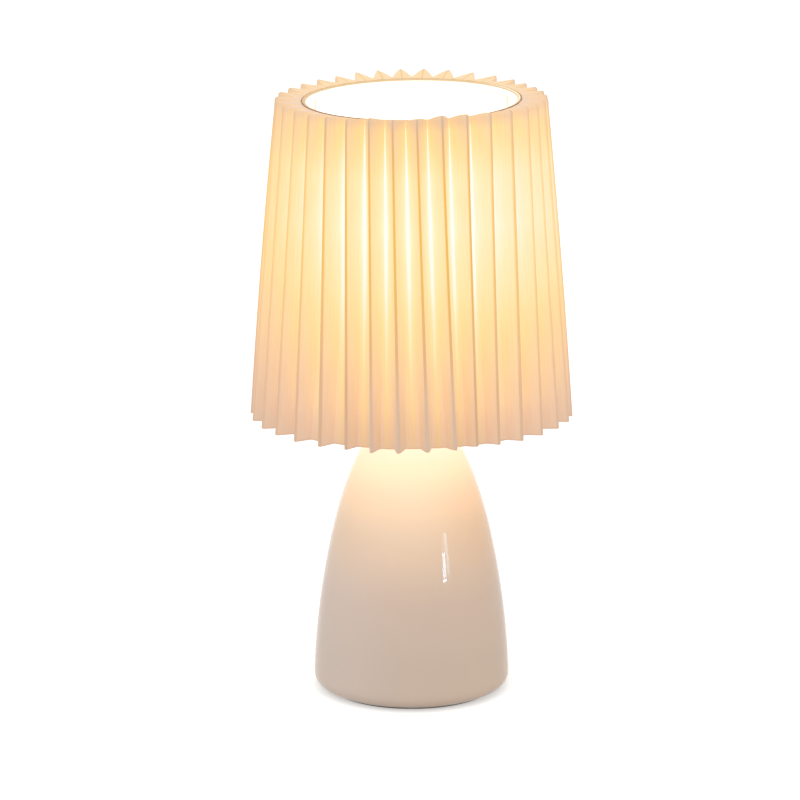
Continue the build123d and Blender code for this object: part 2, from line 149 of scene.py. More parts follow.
class Finish(Nodes):
    def __init__(self, name, fixed):
        self.material = bpy.data.materials.new(name)
        super().__init__(self.material, "Principled BSDF", fixed)

    def spot(self, stretch=(1, 1, 1)):
        # object coordinates, with each axis stretched or squeezed
        here = self.node("TexCoord", output="Object")
        return self.node("Mapping", None, {"Vector": here, "Scale": stretch})

    def part(self, vector, which):
        return self.node("SeparateXYZ", None, {0: vector}, which)

    def axis(self, which):
        return self.part(self.node("TexCoord", output="Object"), which)

    def fromAxis(self):
        # how far a spot stands from the lamp's axis
        return (self.axis(0) * self.axis(0) + self.axis(1) * self.axis(1)) ** 0.5

    def turn(self):
        # the angle round the lamp's axis
        return self.axis(0).maths("ARCTAN2", self.axis(1))

    def wound(self, pitch):
        # a thread round the lamp's axis, 0 to 1 from one turn to the next; its pitch in mm
        return (self.axis(2) / (pitch * mm) + (self.turn() * (0.5 / pi) + 0.5)).fraction()

    def stored(self, name):
        # a value kept on the mesh
        return self.node("Attribute", {"attribute_name": name}, output="Fac")

    def noise(self, vector, scale, detail=2.0, roughness=0.5):
        sockets = {"Vector": vector, "Scale": scale, "Detail": detail, "Roughness": roughness}
        return self.node("TexNoise", None, sockets)

    def cells(self, scale, output):
        return self.node("TexVoronoi", {"feature": "F1"}, {"Vector": self.spot(), "Scale": scale}, output)

    def ramp(self, value, stops):
        return self.node("ValToRGB", {"stops": stops}, {0: value})

    def mix(self, share, first, second, blend="MIX"):
        colours = [(*c, 1) if isinstance(c, tuple) else c for c in (first, second)]
        sockets = {0: share, 6: colours[0], 7: colours[1]}
        return self.node("Mix", {"data_type": "RGBA", "blend_type": blend}, sockets, 2)

    def tinted(self, share, colour, tint):
        return self.mix(share, colour, tint, "MULTIPLY")

    def bump(self, height, distance, strength):
        sockets = {"Height": height, "Distance": distance, "Strength": strength}
        self.feed("Normal", self.node("Bump", None, sockets))


def dress(nodes, finish):
    for name in nodes:
        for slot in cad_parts[name].material_slots:
            slot.material = finish.material


def newPiece(name, finishes, body, replaced):
    # the object just modelled gets its name, place, finishes and body
    piece = bpy.context.object
    piece.name = piece.data.name = name
    bpy.ops.object.transform_apply(location=True, rotation=True, scale=True)
    for finish in finishes:
        piece.data.materials.append(finish.material)
    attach(piece, body)
    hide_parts(replaced)
    piece.select_set(False)
    return piece


# camera, as the photograph was taken
view = {
    "lens": 224.6,
    "sensor": 36,
    "back": 2.69075,
    "height": 0.85526,
    "tilt": 14.38,  # downwards, in degrees
    "axisRight": 11.5,  # how far right of the picture's middle the lamp's axis stands, in pixels
    "picture": 800,
    "seesTo": 50,
}


def makeCamera(v):
    place = (0, -v["back"], v["height"])
    bpy.ops.object.camera_add(location=place, rotation=(radians(90 - v["tilt"]), 0, 0))
    camera = bpy.context.object
    camera.data.lens = v["lens"]
    camera.data.sensor_width = v["sensor"]
    camera.data.shift_x = -v["axisRight"] / v["picture"]
    camera.data.clip_end = v["seesTo"]
    bpy.context.scene.camera = camera
    camera.select_set(False)


makeCamera(view)
print("camera placed")


# floor, world and lamps; each strip is (place, width, height, watts) and stands upright, facing the axis
studio = {
    "worldStrength": 0.64,
    "floorSize": 14.0,
    "floorLevel": -0.0002,
    "floorGlow": 0.47,
    "floorColour": (0.74, 0.74, 0.74),
    "sunStrength": 1.1,
    "sunTilt": (38, 0, -6),
    "sunSoftness": 70,
    # the bulb's light as it leaves the shade: height, size, watts, colour
    "underShade": (0.158, 0.15, 0.14, (1.0, 0.74, 0.46)),
    "stripColour": (0.42, 0.74, 1.0),
    "strips": {
        "windowStrip": ((0.803, -0.805, 0.1755), 0.085, 0.089, 1.15),
        "windowFaintStrip": ((0.875, -0.722, 0.212), 0.06, 0.17, 0.62),
        "windowTopStrip": ((0.835, -0.765, 0.265), 0.06, 0.08, 0.13),
        "windowSpot": ((0.792, -0.824, 0.1243), 0.1, 0.0058, 0.12),
    },
}


def addLamp(name, kind, watts, place=(0, 0, 0), turned=(0, 0, 0)):
    bpy.ops.object.light_add(type=kind, location=place, rotation=turned)
    lamp = bpy.context.object
    lamp.name = name
    lamp.data.energy = watts
    lamp.select_set(False)
    return lamp


def makeStudio(s):
    scene = bpy.context.scene
    scene.view_settings.view_transform = "Standard"
    scene.world = bpy.data.worlds.new("studioWorld")
    sky = Nodes(scene.world, "Background", {"Color": (1, 1, 1)})
    sky.feed("Strength", sky.node("MapRange", None, {0: sky.seenOnly(), 3: s["worldStrength"], 4: 1.0}))

    place = (0, 0, s["floorLevel"])
    bpy.ops.mesh.primitive_grid_add(x_subdivisions=4, y_subdivisions=4, size=s["floorSize"], location=place)
    floor = bpy.context.object
    floor.name = "studioFloor"
    paper = Finish("paleFloor", {
        "Base Color": s["floorColour"],
        "Roughness": 0.9,
        "Specular IOR Level": 0.0,
        "Emission Strength": 1.0,
    })
    paper.feed("Emission Color", paper.mix(paper.seenOnly() * s["floorGlow"], (0, 0, 0), (1, 1, 1)))
    floor.data.materials.append(paper.material)
    floor.select_set(False)

    sun = addLamp("softSun", "SUN", s["sunStrength"], turned=[radians(a) for a in s["sunTilt"]])
    sun.data.angle = radians(s["sunSoftness"])
    sun.visible_glossy = False

    level, size, watts, colour = s["underShade"]
    pool = addLamp("underShadeLight", "AREA", watts, (0, 0, level))
    pool.data.shape = "DISK"
    pool.data.size = size
    pool.data.color = colour
    pool.visible_camera = pool.visible_glossy = False

    for name, (place, width, height, watts) in s["strips"].items():
        aim = (Vector((0, 0, place[2])) - Vector(place)).to_track_quat("-Z", "Y")
        strip = addLamp(name, "AREA", watts, place, aim.to_euler())
        strip.data.shape = "RECTANGLE"
        strip.data.size, strip.data.size_y = width, height
        strip.data.color = s["stripColour"]
        strip.visible_camera = strip.visible_diffuse = False  # seen in the glaze only


makeStudio(studio)
print("studio lit")


# shade: one strip of cloth, pleated, folded over at the top and drawn in to the ring
shade = {
    "pleats": 35,
    # where the ridges stand, in degrees from the front, at the bottom edge, half way up and at the top
    "ridgesLow": [-78.3, -66.3, -56.0, -45.2, -33.9, -23.4, -14.2, -4.5,
                  5.7, 15.6, 23.5, 32.2, 42.3, 53.0, 64.4, 76.0],
    "ridgesMiddle": [-77.8, -66.6, -56.4, -46.2, -35.5, -25.3, -15.6, -6.0,
                     4.1, 14.0, 23.3, 33.0, 43.8, 54.6, 64.6, 75.2],
    "ridgesTop": [-79.3, -69.0, -58.1, -48.2, -38.2, -28.1, -17.8, -7.8,
                  2.3, 12.8, 23.6, 34.9, 46.2, 57.6, 66.8, 76.5],
    "ridgesTopBack": [86.0, 95.0, 103.5, 112.0, 121.2, 130.0, 140.7, 152.2, 163.5, 174.6,
                      184.9, 194.9, 204.8, 214.7, 224.6, 235.3, 245.7, 257.4, 269.2],
    "backWander": 0.9,  # how far, in degrees, the ridges behind wander from that at their foot
    "strip": (0.945, 0.202),  # the flat cloth, round the shade and up it
    "pleatCloth": 0.027,  # cloth in one pleat
    "flatShares": (0.02, 0.24),  # its half nose and its valley floor, as shares of that cloth
    "coneRows": 20,
    "ridgeBottom": (89.85, 157.5),
    "valleyBottom": (80.5, 157.5),
    "ridgeTop": (75.5, 332.6),
    "valleyTop": (64.4, 332.0),
    "bow": 0.7,  # how far the ridges stand out half way up
    "wall": (1.3, 0.6),  # from the outer side to the inner one, at a ridge and in a valley
    "wobble": 0.3,  # how far a ridge may stand back
    "floorShare": (0.56, 0.05),  # flat part of a valley, at the bottom and at the top
    "noseShare": (0.05, 0.018),  # half the flat of a ridge
    "turnedIn": 5,  # rows from the opening's rim to the strip's end, which show the lit side
    "leastRow": 0.4,  # least cloth, in mm, that a row takes
    # how far each ridge is lifted, in mm, at its foot and at the top fold
    "liftLow": [0.8, 0.9, 0.9, 0.7, 0.8, 1.2, 0.6, 0.8, 1.4, 1.9, 3.0, 2.3, 2.0, 1.9, 1.7, 1.1] + [0.3] * 19,
    "liftTop": [-1.1, -1.1, -1.1, -1.2, -0.7, -0.6, 0.9, 0.6, 1.0, 2.5, 2.5, 2.1, 1.6, 1.0, 0.1, 0.0,
                -0.5, -0.9, -0.8, -0.7, -0.6, -0.2, 0.1, 0.3, 0.8, 0.9, 0.8, 0.4, 0.1, -0.9,
                -1.2, -1.5, -1.6, -1.4, -1.1],
    "valleyLift": 1.2,  # most that a valley's foot is lifted
    "ringTilt": 0.9,
    "fanInner": 61.5,  # where the fan stops following the ring and starts to follow its ridges
    "fanRun": 8,
    # how strongly each valley glows and how dark each ridge's painted-shade line is, from the left round the
    # front
    "glowFront": [0.55, 0.6, 0.68, 0.78, 0.88, 0.95, 1.0, 1.0, 1.0, 1.0, 1.0, 1.0, 0.95, 0.9, 0.78, 0.7],
    "glowBack": 0.85,
    "glowSpread": 0.12,
    "creaseFront": [0.35, 0.42, 0.52, 0.7, 0.88, 1.0, 1.0, 1.0, 1.0, 1.0, 1.0, 0.85, 0.75, 0.62, 0.5, 0.42],
    "creaseBack": 0.7,
    "easeShare": 0.3,  # part of a pleat over which one valley's glow turns into the next one's
}
# the path of ridge and valley over the top, as (ridge radius, height, valley radius, height)
overTop = [
    (75.35, 335.8, 64.2, 334.4),
    (75.15, 337.1, 63.9, 335.5),
    (74.3, 337.9, 63.4, 336.1),
    (71.4, 337.6, 62.8, 336.1),
    (66.5, 336.9, 61.9, 335.9),
    (62.8, 336.1, 61.3, 335.7),
    (60.9, 335.7, 60.8, 335.6),
    (60.25, 335.1, 60.25, 335.1),
    (60.1, 334.0, 60.1, 334.0),
    (60.05, 332.2, 60.05, 332.2),
    (60.35, 331.1, 60.35, 331.1),
    (61.3, 330.75, 61.3, 330.75),
]
underTop = [
    (61.3, 330.95, 61.3, 330.95),
    (60.5, 331.25, 60.5, 331.25),
    (60.25, 332.2, 60.25, 332.2),
    (60.3, 334.0, 60.3, 334.0),
    (60.7, 334.9, 60.7, 334.9),
    (62.5, 335.1, 61.6, 334.9),
    (66.3, 335.8, 62.3, 335.0),
    (71.0, 336.5, 62.9, 334.9),
    (73.2, 335.8, 63.3, 334.0),
]


def ridgeAngles(s, name, wander):
    # the ridges in front, then those behind, which run nearly straight up to the top's
    front, top, behind = s[name], s["ridgesTop"], s["ridgesTopBack"]
    right, left = front[-1] - top[-1], front[0] - top[0]
    back = []
    for i, angle in enumerate(behind):
        on = (i + 1) / (len(behind) + 1)
        back.append(angle + right * (1 - on) + left * on + wander * sin(2.3 * i + 1))
    return front + back + [front[0] + 360]


def clothRows(s):
    # every row of the strip: (ridge radius, height, valley radius, height, share of the way up)
    ends = list(zip(s["ridgeBottom"] + s["valleyBottom"], s["ridgeTop"] + s["valleyTop"]))
    ridgeWall, valleyWall = s["wall"]
    outside, inside = [], []
    for i in range(s["coneRows"] + 1):
        up = i / s["coneRows"]
        row = [between(pair, up) for pair in ends]
        row[0] += s["bow"] * 4 * up * (1 - up)
        outside.append((*row, up))
        inside.insert(0, (row[0] - ridgeWall, row[1], row[2] - valleyWall, row[3], up))
    return outside + [(*row, 1.0) for row in overTop], [(*row, 1.0) for row in underTop] + inside


def clothColumns():
    # places across one pleat, ridge to ridge: (kind, amount, depth); depth 0 on the ridge, 1 in the valley
    half = [("nose", 0, 0), ("nose", 1, 0.015)]
    half += [("flank", 0.06, 0.075), ("flank", 0.35, 0.355), ("flank", 0.68, 0.685), ("flank", 0.93, 0.925)]
    half += [("floor", 0, 0.985), ("floor", 0.16, 1.0), ("middle", 0, 0.985)]
    return half + [(kind, -1 - amount, depth) for kind, amount, depth in reversed(half[1:-1])]


def acrossPleat(kind, amount, nose, floor):
    # how far across the pleat a column stands, from 0 to 1; a negative amount counts back from the next ridge
    back = amount <= -1
    share = -1 - amount if back else amount
    edge = 0.5 - floor / 2
    places = {
        "nose": nose * share,
        "flank": nose + (edge - nose) * share,
        "floor": edge + floor * share,
        "middle": 0.5,
    }
    return 1 - places[kind] if back else places[kind]


def lifted(s, pleat, x, depth, rise, radius, turn):
    # a hand-pleated strip never lies quite level
    def near(lifts):
        one, two = lifts[pleat], lifts[(pleat + 1) % s["pleats"]]
        return (one if x < 0.5 else two) * (1 - depth) + (one + two) / 2 * depth

    foot = near(s["liftLow"])
    foot = foot * (1 - depth) + min(foot, s["valleyLift"]) * depth
    onFan = min(1, max(0, (radius - s["fanInner"]) / s["fanRun"]))
    top = near(s["liftTop"]) * onFan + s["ringTilt"] * sin(turn) * (1 - onFan)
    return foot * (1 - rise) ** 4 + top * rise ** 4


def makeCloth(s):
    outside, inside = clothRows(s)
    rows = outside + inside + outside[:1]  # the last row meets the first again, which closes the bottom hem
    columns = clothColumns()
    across = s["pleats"] * len(columns)
    upward = len(rows) - 1
    bpy.ops.mesh.primitive_grid_add(x_subdivisions=across, y_subdivisions=upward, size=1, calc_uvs=True)
    mesh = bpy.context.object.data
    low = ridgeAngles(s, "ridgesLow", s["backWander"])
    middle = ridgeAngles(s, "ridgesMiddle", s["backWander"] / 2)
    top = ridgeAngles(s, "ridgesTop", 0)
    behind = s["pleats"] - len(s["glowFront"])
    glows = s["glowFront"] + [s["glowBack"] + s["glowSpread"] * sin(1.7 * i) for i in range(behind)]
    creases = s["creaseFront"] + [s["creaseBack"]] * behind
    climbed = [0]  # how far up the flat cloth each row lies
    for one, two in zip(rows, rows[1:]):
        rowCloth = sqrt((two[0] - one[0]) ** 2 + (two[1] - one[1]) ** 2)
        climbed.append(climbed[-1] + max(s["leastRow"], rowCloth) * mm)
    glow = mesh.attributes.new("glow", "FLOAT", "POINT")
    crease = mesh.attributes.new("crease", "FLOAT", "POINT")
    flat = []
    for index, vertex in enumerate(mesh.vertices):
        row, column = divmod(index, across + 1)
        pleat, part = divmod(column, len(columns))
        kind, amount, depth = columns[part]
        clothX = (pleat + acrossPleat(kind, amount, *s["flatShares"])) * s["pleatCloth"]
        flat.append((clothX, climbed[row]))
        if pleat == s["pleats"]:
            pleat = 0  # the strip's end meets its start
        ridgeR, ridgeZ, valleyR, valleyZ, rise = rows[row]
        x = acrossPleat(kind, amount, between(s["noseShare"], rise), between(s["floorShare"], rise))
        lowShare = (1 - rise) * (1 - 2 * rise)
        middleShare = 4 * rise * (1 - rise)
        topShare = rise * (2 * rise - 1)
        ends = [low[i] * lowShare + middle[i] * middleShare + top[i] * topShare for i in (pleat, pleat + 1)]
        turn = radians(between(ends, x))
        wobble = s["wobble"] * abs(sin(pleat * 2.1)) * (1 - depth) * min(1, (ridgeR - valleyR) / 10)
        radius = between((ridgeR, valleyR), depth) - wobble
        height = between((ridgeZ, valleyZ), depth) + lifted(s, pleat, x, depth, rise, radius, turn)
        vertex.co = (radius * mm * sin(turn), -radius * mm * cos(turn), height * mm)
        right = x > 0.5
        here, beside = glows[pleat], glows[(pleat + (1 if right else -1)) % s["pleats"]]
        inPleat = min(1, min(x, 1 - x) / s["easeShare"])
        glow.data[index].value = (here + beside) / 2 + (here - beside) / 2 * inPleat
        crease.data[index].value = creases[(pleat + right) % s["pleats"]]
    uv = mesh.uv_layers.active
    uv.name = "cloth"
    for loop in mesh.loops:
        uv.data[loop.index].uv = flat[loop.vertex_index]
    turnedIn = climbed[len(outside) - s["turnedIn"]]  # past the rim the cloth shows its lit side
    for face in mesh.polygons:
        middleUp = sum(uv.data[i].uv[1] for i in face.loop_indices) / len(face.loop_indices)
        face.material_index = 1 if middleUp > turnedIn else 0
    bpy.ops.object.mode_set(mode="EDIT")
    bpy.ops.mesh.select_all(action="SELECT")
    bpy.ops.mesh.remove_doubles(threshold=0.00002)
    bpy.ops.mesh.normals_make_consistent(inside=False)
    bpy.ops.object.mode_set(mode="OBJECT")
    bpy.ops.object.shade_smooth_by_angle(angle=radians(28))


clothLook = {
    "cloth": (0.6, 0.415, 0.28),
    # painted shade: the darker cloth colour along ridge lines, the hem and the top's folds
    "shadedCreaseCloth": (0.42, 0.25, 0.1),
    "lamps": 0.78,  # how bright the lamps alone show a white face of the cloth
    "weave": 0.00045,
    "grain": 0.0007,
    "lowest": 0.157,  # the hem and the top fold
    "highest": 0.338,
    # the light behind the cloth, by height in mm: beside a ridge, and what a valley and its middle add
    "besideRidge": [(157, 0.27), (180, 0.39), (212, 0.545), (245, 0.65),
                    (277, 0.70), (304, 0.68), (331, 0.51), (336, 0.41)],
    "valleySlope": [(157, 0.02), (180, 0.12), (212, 0.11), (245, 0.16),
                    (277, 0.22), (304, 0.21), (331, 0.22), (336, 0.09)],
    "valleyPeak": [(157, 0.04), (180, 0.16), (212, 0.21), (245, 0.29),
                   (277, 0.30), (304, 0.32), (331, 0.5), (336, 0.26)],
    "side": (0.02, 0.06),  # where the sides begin, either way from the axis
    "sideSlope": 1.65,  # how much more a valley adds there
    "nearBulb": 0.32,  # how much flatter the light lies on the right, nearer to the bulb
    "farLoss": 0.07,  # how much light is lost far to the left
    "peakWidth": 0.0009,  # the bright line down a valley, and how much wider it is high up
    "peakWider": 0.0016,
    # what colour the cloth and its ridge lines turn as that light grows
    "glow": [(0.0, (192, 166, 150)), (0.27, (218, 186, 159)), (0.41, (234, 199, 166)),
             (0.53, (246, 211, 167)), (0.65, (253, 222, 166)), (0.71, (253, 228, 176)),
             (0.8, (255, 236, 195)), (0.9, (254, 246, 226)), (1.0, (254, 254, 252))],
    "creaseGlow": [(0.2, (199, 180, 166)), (0.41, (214, 184, 158)),
                   (0.56, (226, 178, 123)), (0.69, (239, 187, 92))],
    # tints of the painted glow: low in the front valleys, near the top, low at the sides, and the low ends of
    # the side ridges' shade lines
    "amber": (1.0, 0.95, 0.42),
    "lemon": (1.0, 1.0, 0.84),
    "ash": (1.04, 1.09, 1.18),
    "brown": (1.02, 0.77, 0.64),
    # painted shade: the dark line along each ridge
    "creaseWidth": 0.0016,  # the line along a ridge, and how much broader it is low in front
    "creaseBroader": 0.0008,
    # painted shade along the bottom edge: its width up the cloth and its colour
    "hemWidth": (0.0004, 0.0011),
    "hemShade": (206, 160, 128),
    "fanFrom": (0.1808, 0.1830),  # where the fold over the top begins, up the cloth
    # the top fold's glow, plain, behind and in front, and the painted shade of its fold lines
    "fan": (233, 201, 172),
    "fanBehind": (245, 213, 167),
    "fanBefore": (238, 194, 150),
    "fanLine": (232, 194, 162),
    # the inner side, lit by the bulb, from the bottom edge up, and the painted shade its folds turn
    "lining": [(0.0, (0.8, 0.6, 0.4)), (0.3, (0.62, 0.49, 0.32)), (0.62, (0.64, 0.54, 0.37)),
               (0.8, (1.2, 1.1, 0.92)), (1.0, (1.5, 1.4, 1.2))],
    "liningFoldShade": (0.86, 0.74, 0.56),
}


def clothOutside(c):
    fixed = {"Roughness": 0.6, "Specular IOR Level": 0.25, "Sheen Weight": 0.08, "Emission Strength": 1.0}
    look = Finish("pleatedCloth", fixed)
    uv = look.node("UVMap", {"uv_map": "cloth"})
    climb = look.part(uv, 1)
    glow = look.stored("glow")
    height = look.axis(2)
    rise = height.rises(c["lowest"], c["highest"])
    half = shade["pleatCloth"] / 2
    fromValley = abs((look.part(uv, 0) / shade["pleatCloth"]).fraction() - 0.5) * shade["pleatCloth"]
    fromRidge = half - fromValley

    def own(colour, cloth):
        # what the cloth must add by itself to the lamps to reach a colour
        return tuple(max(0, wanted - base * c["lamps"]) for wanted, base in zip(fromScreen(*colour), cloth))

    def byHeight(stops):
        run = c["highest"] - c["lowest"]
        return look.ramp(rise, [((z * mm - c["lowest"]) / run, (v, v, v)) for z, v in stops])

    def shines(level, stops, cloth):
        return look.ramp(level, [(v, own(colour, cloth)) for v, colour in stops])

    side = abs(look.axis(0)).fades(*c["side"])
    intoPleat = 1 - fromValley / half
    inward = intoPleat ** 1.7 * (1 - side) + intoPleat ** 1.4 * (side * c["sideSlope"])
    nearBulb = look.axis(0).fades(-0.01, 0.06) * c["nearBulb"]
    inward = inward * (1 - nearBulb) + nearBulb
    plain = byHeight(c["besideRidge"])
    slope = plain + byHeight(c["valleySlope"]) * inward
    peakWidth = (c["peakWidth"] + c["peakWider"] * height.bell(0.296, 0.085)) * (1 + (1 - glow) * 4)
    peak = (1 - (fromValley / peakWidth).fades(0.2, 1.7)) * glow
    level = slope * (1 - peak) + (plain + byHeight(c["valleyPeak"])) * peak
    level = level * ((1 - c["farLoss"]) + c["farLoss"] * look.axis(0).fades(-0.085, -0.03))
    colour = shines(level, c["glow"], c["cloth"])

    # the painted glow is tinted: amber deepest in the low valleys in front, lemon near the top, ashen low at
    # the sides
    deep = (1 - height.fades(0.168, 0.212)) * (peak + 0.15) * (1 - side)
    colour = look.tinted(deep, colour, c["amber"])
    upper = height.fades(0.312, 0.334) * (0.9 - 0.6 * look.axis(0).fades(0.01, 0.05))
    colour = look.tinted(upper, colour, c["lemon"])
    ashen = side * (1 - height.fades(0.157, 0.215))
    colour = look.tinted(ashen, colour, c["ash"])

    # the dark line along each ridge is painted shade: amber where the cloth glows, broader low in front,
    # brown low at the sides
    aside = abs(look.axis(0)).fades(0.022, 0.034)
    lineWidth = c["creaseWidth"] + c["creaseBroader"] * (1 - height.fades(0.157, 0.2)) * (1 - aside)
    onRidge = (1 - (fromRidge / lineWidth).fades(0.3, 1)) * look.stored("crease")
    crease = shines(plain, c["creaseGlow"], c["shadedCreaseCloth"])
    crease = look.tinted(aside * (1 - height.fades(0.185, 0.215)), crease, c["brown"])
    colour = look.mix(onRidge, colour, crease)
    # painted shade along the bottom edge
    hemShade = (1 - climb.fades(*c["hemWidth"])) * 0.4
    colour = look.mix(hemShade, colour, own(c["hemShade"], c["shadedCreaseCloth"]))

    # the cloth folded over on top glows less, and its folds show as fine lines of painted shade
    fan = climb.fades(*c["fanFrom"])
    behind = look.axis(1).fades(-0.02, 0.05)
    before = 1 - look.axis(1).fades(-0.072, -0.045)
    fold = ((1 - fromRidge.fades(0.0003, 0.0012)) * 0.35).atLeast(fromValley.bell(0.0034, 0.0012))
    fold = fold * (1 - behind * 0.7)
    plainFan = look.mix(behind, own(c["fan"], c["cloth"]), own(c["fanBehind"], c["cloth"]))
    plainFan = look.mix(before, plainFan, own(c["fanBefore"], c["cloth"]))
    colour = look.mix(fan, colour, look.mix(fold, plainFan, own(c["fanLine"], c["shadedCreaseCloth"])))

    drawn = look.node("Mapping", None, {"Vector": uv, "Scale": (1, 0.03, 1)})
    thread = look.noise(drawn, 1 / c["grain"], 2.0)
    weave = look.noise(uv, 1 / c["weave"], 1.0)
    look.feed("Emission Color", look.mix((thread - 0.3).atLeast(0) * 0.24, colour, (0, 0, 0)))

    woven = look.mix(thread * 0.5 + weave * 0.2, scaled(c["cloth"], 1.06), scaled(c["cloth"], 0.92))
    # ridge lines, the bottom edge and the top's folds take the darker cloth colour as painted shade
    creased = onRidge.atLeast(hemShade).atLeast(fold * fan)
    look.feed("Base Color", look.mix(creased, woven, c["shadedCreaseCloth"]))
    look.bump(thread * 0.6 + weave * 0.4, 0.00006, 0.6)
    return look


def clothInside(c):
    look = Finish("shadeLining", {"Roughness": 0.7, "Specular IOR Level": 0.2, "Emission Strength": 1.0})
    uv = look.node("UVMap", {"uv_map": "cloth"})
    fromRidge = 0.5 - abs((look.part(uv, 0) / shade["pleatCloth"]).fraction() - 0.5)
    weave = look.noise(uv, 1 / c["weave"], 1.0)
    look.feed("Base Color", look.mix(weave, (0.46, 0.42, 0.35), (0.4, 0.36, 0.3)))
    height = look.axis(2)
    lit = look.ramp(height.rises(c["lowest"], c["highest"]), c["lining"])
    # painted shade on the ridges, which lie deeper, away from the bulb
    fold = (1 - fromRidge.fades(0.0, 0.3)) * (1 - height.fades(0.285, 0.305))
    look.feed("Emission Color", look.tinted(fold, lit, c["liningFoldShade"]))
    look.bump(weave, 0.00005, 0.5)
    return look


makeCloth(shade)
clothFinishes = [clothOutside(clothLook), clothInside(clothLook)]
cover = newPiece("pleated_cover", clothFinishes, "shade", "shade_cover")
print("cloth pleated:", len(cover.data.polygons), "faces")


# rim: a tape laid round the inside of the opening and folded out over the cloth's edge
rim = {
    # its section as (radius, height) in mm, from the bottom of the inner side, over the top and back down
    "section": [(59.35, 332.0), (59.3, 333.4), (59.2, 334.6), (58.6, 334.85), (58.1, 335.15), (58.2, 335.5),
                (58.7, 335.75), (59.4, 335.9), (60.2, 335.9), (60.6, 335.7), (60.3, 335.3), (59.95, 334.7),
                (59.9, 333.4), (59.9, 332.0)],
    "edges": (58.0, 60.7),  # radii of its inner and outer edge
    "turn": (334.5, 335.1),  # height at which its inner side turns over
    "steps": 350,
    "gather": 0.12,
    "puckers": 83,
    # its light from the inner edge outwards, in the gap where it stands off, and on the side to the bulb
    "lit": [(0, (232, 206, 168)), (0.25, (226, 198, 160)), (0.55, (224, 197, 164)),
            (0.72, (196, 166, 140)), (0.92, (146, 118, 100))],
    "lamps": 0.14,  # what the lamps add to that
    "gapLight": (0.95, 0.9, 0.66),
    "innerLight": (1.4, 1.3, 1.15),
    "tape": (0.2, 0.15, 0.11),
    "tapeShade": (0.13, 0.1, 0.075),
}


def makeRim(r):
    # one section of the tape, spun round the lamp's axis
    bpy.ops.mesh.primitive_circle_add(vertices=len(r["section"]), radius=0.01)
    tape = bpy.context.object.data
    for vertex, (radius, height) in zip(tape.vertices, r["section"]):
        vertex.co = (radius * mm, 0, height * mm)
    bpy.ops.object.mode_set(mode="EDIT")
    bpy.ops.mesh.select_all(action="SELECT")
    bpy.ops.mesh.spin(steps=r["steps"], angle=2 * pi, center=(0, 0, 0), axis=(0, 0, 1))
    bpy.ops.mesh.select_all(action="SELECT")
    bpy.ops.mesh.remove_doubles(threshold=0.00001)
    bpy.ops.mesh.normals_make_consistent(inside=False)
    bpy.ops.object.mode_set(mode="OBJECT")
    for vertex in tape.vertices:
        x, y, z = vertex.co
        turn = atan2(x, -y)
        pucker = (0.5 * sin(turn * shade["pleats"]) + 0.5 * sin(turn * r["puckers"])) * r["gather"] * mm
        out = 1 + pucker / sqrt(x * x + y * y)
        vertex.co = (x * out, y * out, z + pucker * 0.5 + shade["ringTilt"] * mm * sin(turn))
    bpy.ops.object.shade_smooth_by_angle(angle=radians(50))


def rimCloth(r):
    look = Finish("rolledRim", {"Roughness": 0.7, "Specular IOR Level": 0.2, "Emission Strength": 1.0})
    x = look.axis(0)
    outward = look.fromAxis().rises(*scaled(r["edges"], mm))
    stops = [(at, tuple(max(0, v - r["lamps"]) for v in fromScreen(*colour))) for at, colour in r["lit"]]
    top = look.ramp(outward, stops)
    gap = outward.bell(0.42, 0.26) * x.fades(0.03, 0.055)
    top = look.mix(gap, top, r["gapLight"])
    level = look.axis(2) - x * (shade["ringTilt"] * mm / 0.06)
    inner = 1 - level.fades(*scaled(r["turn"], mm))
    look.feed("Emission Color", look.mix(inner, top, r["innerLight"]))
    tuck = (look.turn() * shade["pleats"]).maths("SINE")
    fibre = look.noise(look.spot(), 900.0)
    # the tape darkens and lightens with each tuck, as painted shade, over its fibre
    look.feed("Base Color", look.mix(fibre * 0.5 + tuck * 0.2, r["tape"], r["tapeShade"]))
    look.bump(fibre * 0.5 + tuck, 0.0001, 0.5)
    return look


makeRim(rim)
binding = newPiece("rim_binding", [rimCloth(rim)], "shade", "rim_tape")
print("rim rolled")


# base glaze: warm white, with the faint pooling and pinholes of a dipped piece, and painted light and shade
glazeLook = {
    "top": 150,
    # by height in mm; lighter towards the top, as painted light from the shade above
    "colours": [(0, (205, 186, 170)), (24, (204, 185, 170)), (60, (211, 189, 173)), (85, (226, 202, 180)),
                (110, (230, 210, 189)), (130, (228, 208, 197)), (150, (222, 190, 202))],
    # painted light tints: cool shade low on the left, a warm reflection high on the right, and paler bounce
    # light low towards both edges
    "coolShade": (0.99, 1.05, 1.14),
    "warmReflection": (1.01, 0.92, 0.84),
    "paleBounce": (1.1, 1.09, 1.07),
    "pooled": (0.5, 0.4, 0.32),
    "pinhole": (0.45, 0.36, 0.28),
    "bareFoot": (206, 190, 172),
    "footHeight": 2.2,
}


